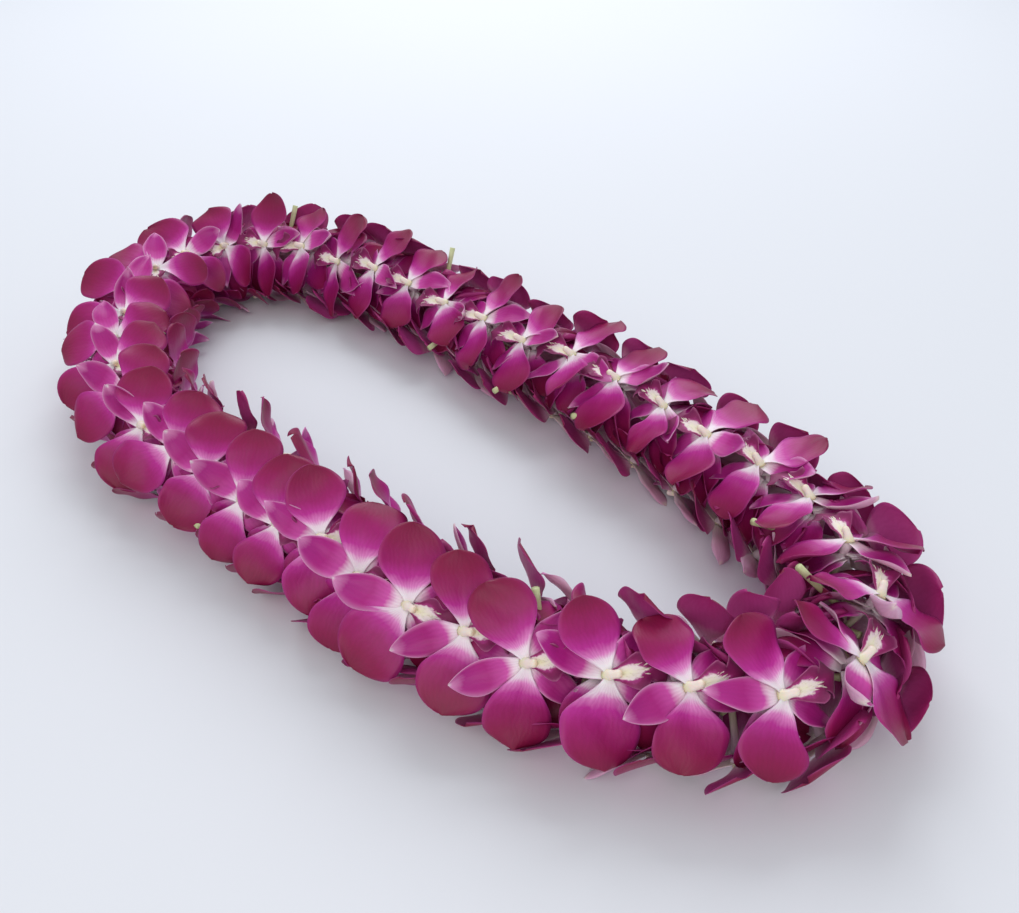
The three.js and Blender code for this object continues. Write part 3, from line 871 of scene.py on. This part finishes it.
def lip_material():
    """The lip, as grown: dark velvety magenta that gives little shine, with a cream throat
    whose edge is ragged where patches move it, and a pale back."""
    throat = [(0.0, "#e9e6b0"), (1.0, "#7a1852"), (0.3, "#f2ecd2"), (0.52, "#f0dfe0"),
              (0.62, "#a8337e"), (0.75, "#861a58")]
    back = [(0.0, "#eee4cf"), (1.0, "#a2417f"), (0.5, "#dcaccb")]
    steps = [
        ("patches", "TexNoise", {"Scale": scale_of(1.43), "Detail": 3}, HERE),
        ("ragged", "Math", {**TIMES_PLUS, 1: 0.3}, {0: "patches", 2: "along.2"}),
        ("off", "Math", {"operation": "ABSOLUTE"}, {0: "across.2"}),
        ("wider", "Math", {**TIMES_PLUS, 1: 0.75}, {0: "off", 2: "ragged"}),
        ("depth", "Math", {**SUM, 1: -0.15}, {0: "wider"}),
        *two_sided(throat, back, ("#c9739f", 16, 0.5)),
    ]
    return new_material("orchid_lip", steps, {
        "Roughness": 0.5, "Specular IOR Level": 0.3, "Sheen Weight": 0.15, "Sheen Roughness": 0.4,
    }, {"Base Color": "both.2"})


def mottled_material(name, along, mottle, settings):
    """A smooth plant part whose colour changes along it, with soft patches of another: its
    colour, its share and the patches' size."""
    code, share, size = mottle
    steps = [
        ("length", "ValToRGB", {}, {"Fac": "along.2"}, along),
        ("patches", "TexNoise", {"Scale": scale_of(size), "Detail": 3}, HERE),
        ("share", "Math", {**TIMES, 1: share}, {0: "patches"}),
        ("mottled", "Mix", {**MIX, 7: code}, {0: "share", 6: "length"}),
    ]
    return new_material(name, steps, settings, {"Base Color": "mottled.2"})


def column_material():
    """The waxy column and the crest's fringe: cream, greener at the foot, a little
    see-through, which keeps their shaded sides light."""
    along = [(0.0, "#dfe0a6"), (1.0, "#ece2a8"), (0.4, "#f0e6d6"), (0.8, "#f3e9d2")]
    return mottled_material("orchid_column", along, ("#e3b7cb", 0.35, 2), {
        "Roughness": 0.4, "Subsurface Weight": 0.1, "Subsurface Scale": 2 * MM})


def stalk_material():
    """Fresh cut stalks: smooth pale green that shines a little, drier and paler at the cut."""
    along = [(0.0, "#cdd09a"), (1.0, "#cfd2a0"), (0.5, "#d6d8a6"), (0.9, "#dcdcb0")]
    return mottled_material("cut_stalk", along, ("#a9bd78", 0.4, 3.33), {
        "Roughness": 0.45, "Specular IOR Level": 0.45})


def foot_material():
    """The ovary under a bloom: satin pale pink, turning to green at the string."""
    along = [(0.0, "#f0e2e8"), (1.0, "#bcc592"), (0.4, "#e2c3d3"), (0.75, "#d5cfae")]
    return mottled_material("orchid_ovary", along, ("#d9b5c4", 0.3, 2.5), {
        "Roughness": 0.5, "Specular IOR Level": 0.35})


def string_material():
    """Two-ply cotton, as spun: matt off-white, its fibres a fine fuzz of light and dark. They
    are drawn coarser than they are, because real ones are too fine to show."""
    steps = [
        ("fibres", "TexNoise", {"Scale": scale_of(0.333), "Detail": 3}, HERE),
        ("share", "Math", {**TIMES, 1: 0.5}, {0: "fibres"}),
        ("cotton", "Mix", {**MIX, 6: "#efe9d8", 7: "#cfc6ad"}, {0: "share"}),
        ("fuzz", "TexNoise", {"Scale": scale_of(0.2), "Detail": 3}, HERE),
        ("bump", "Bump", {"Strength": 0.4, "Distance": 0.2 * MM}, {"Height": "fuzz"}),
    ]
    return new_material("cotton_string", steps, {"Roughness": 0.9, "Sheen Weight": 0.3},
                        {"Base Color": "cotton.2", "Normal": "bump"})


# ---- The blooms ----

BLOOM_ATLAS = 5  # squares across one bloom's part of the texture map
# the corner that each bloom of a whorl has of that map, at half size
BLOOM_CORNERS = np.array([[0.0, 0.0], [0.5, 0.0], [0.0, 0.5]])[:, None]


def add_blooms():
    """One object for every whorl, which stands for that whorl's solid."""
    piece, cells = Piece(), Cells(BLOOM_ATLAS)
    for blade in BLADES:
        add_blade(piece, cells, blade)
    add_lip(piece, cells)
    add_crest(piece, cells)
    add_column(piece, cells)
    add_foot(piece, cells)
    add_stalk(piece, cells)
    points, quads, slots, marks, uv = piece.joined()
    materials = [petal_material(), sepal_material(), lip_material(), column_material(),
                 stalk_material(), foot_material()]
    shift = np.arange(BLOOMS_PER_WHORL)[:, None, None] * points.shape[1]
    for k in range(WHORLS):
        own = slice(k * BLOOMS_PER_WHORL, (k + 1) * BLOOMS_PER_WHORL)
        thing = make_object(
            f"blooms_{k + 1:02d}",
            points[own].reshape(-1, 3),
            (quads[None] + shift).reshape(-1, 4),
            np.tile(slots, BLOOMS_PER_WHORL),
            marks[own].reshape(-1, 4),
            (BLOOM_CORNERS + uv[None] / 2).reshape(-1, 2),
            materials)
        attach(thing, "root")
        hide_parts(f"whorl_{k + 1:02d}")


add_blooms()

# ---- The string ----

STRANDS = 2
STRAND = (0.42, 6)  # radius and sides
STRAND_REACH = 0.9 * STRAND[0]  # from the string's middle line to a strand's
TWIST_PITCH = 4.5
STEPS_PER_WHORL = 28
ROUNDING = 4  # steps either way over which a corner of the line is rounded
KNOT_SIZE = 0.42
KNOT_RINGS = 60
CORD = (0.6, 8)  # radius and sides of the knot's turns and the tails
TAIL_LENGTH = 7
TAIL_RINGS = 12
TAIL_BEND = 3  # height of its bend over the string's middle
TAIL_LEAN = (0.9, 0.82)  # how far it leans along the string there and at its tip
UPRIGHT, SIDELONG = np.array([0.0, 0.0, 1.0]), np.array([0.0, 1.0, 0.0])


def string_run():
    """The string's closed middle line: straight from whorl to whorl, corners rounded by the
    mean of nearby places."""
    steps = np.arange(0, WHORLS, 1 / STEPS_PER_WHORL)
    low = np.floor(steps)
    part = (steps - low)[:, None]
    line = string_corner(low) * (1 - part) + string_corner(low + 1) * part
    around = range(-ROUNDING, ROUNDING + 1)
    return sum(np.roll(line, k, 0) for k in around) / len(around)


def knot_path():
    """A closed trefoil: two turns round whose reach and height swing three times."""
    t = np.arange(KNOT_RINGS) * 2 * np.pi / KNOT_RINGS
    reach = 2 + np.cos(3 * t)
    return np.stack([np.cos(2 * t) * reach, np.sin(2 * t) * reach, np.sin(3 * t)], -1) * KNOT_SIZE


def add_cord(piece, cells, path, cord, aside, looped=True):
    """An even bar along a path, where cord is its radius and how many sides it has."""
    radius, sides = cord
    radii = np.full(len(path), radius)
    tube(piece, path[None], radii, sides, aside, slot=0, tone=0.5, cells=cells, looped=looped)


def add_string():
    """Two strands that wind round the middle line on a circle, by sine and cosine of an angle
    that grows evenly, with a small knot and two cut tails."""
    piece, cells = Piece(), Cells(3)
    line = string_run()
    ahead = unit(np.roll(line, -1, 0) - np.roll(line, 1, 0))
    beside_it = unit(np.cross(ahead, [0, 0, 1]))
    above = np.cross(beside_it, ahead)
    turns = np.round(LOOP_LENGTH / TWIST_PITCH) * 2 * np.pi * np.arange(len(line))[:, None] / len(line)
    for k in range(STRANDS):
        angle = turns + 2 * np.pi * k / STRANDS
        strand = line + STRAND_REACH * (beside_it * np.cos(angle) + above * np.sin(angle))
        add_cord(piece, cells, strand, STRAND, UPRIGHT)
    add_cord(piece, cells, knot_path() + line[0], CORD, UPRIGHT)
    bend, end = TAIL_LEAN
    for way in (-1, 1):
        tip = line[0] + way * end * ahead[0] + [0, 0, TAIL_LENGTH]
        middle = line[0] + way * bend * ahead[0] + [0, 0, TAIL_BEND]
        add_cord(piece, cells, curve(line[0], middle, tip, TAIL_RINGS), CORD, SIDELONG, looped=False)
    points, quads, slots, marks, uv = piece.joined()
    materials = [string_material()]
    thing = make_object("cotton_string", points[0], quads, slots, marks[0], uv, materials)
    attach(thing, "root")
    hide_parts("string")


add_string()

# ---- The surroundings ----

FLOOR_REACH = 4.0  # metres from the middle to each edge


def add_floor():
    """A wide square of matt painted board: pale, with a faint broad reflection."""
    corners = [(x * FLOOR_REACH, y * FLOOR_REACH, 0) for x, y in ((-1, -1), (1, -1), (1, 1), (-1, 1))]
    mesh = bpy.data.meshes.new("floor")
    mesh.from_pydata(corners, [], [(0, 1, 2, 3)])
    floor = bpy.data.objects.new("floor", mesh)
    bpy.context.scene.collection.objects.link(floor)
    material = new_material("pale_floor", [], {
        "Base Color": "#e0e2e6", "Roughness": 0.8, "Specular IOR Level": 0.2}, {})
    mesh.materials.append(material)


def add_light(name, place, size, power, code):
    """A square soft light aimed at the lei's middle, its size in metres and power in watts."""
    light = bpy.data.lights.new(name, "AREA")
    light.size = size
    light.energy = power
    light.color = colour(code)[:3]
    lamp = bpy.data.objects.new(name, light)
    lamp.location = place
    lamp.rotation_euler = (-Vector(place)).to_track_quat("-Z", "Y").to_euler()
    bpy.context.scene.collection.objects.link(lamp)


def add_world(code, strength):
    """Even pale light from all round."""
    world = bpy.data.worlds.new("studio")
    bpy.context.scene.world = world
    world.use_nodes = True
    back = world.node_tree.nodes["Background"]
    back.inputs["Color"].default_value = colour(code)
    back.inputs["Strength"].default_value = strength


add_floor()
add_world("#eef3fb", 0.66)
add_light("window", (-0.9, 0.9, 1.3), 1.3, 18, "#f7faff")
add_light("fill", (0.8, -1.0, 1.0), 1.2, 9, "#fffaf4")
bpy.context.scene.view_settings.view_transform = "Standard"
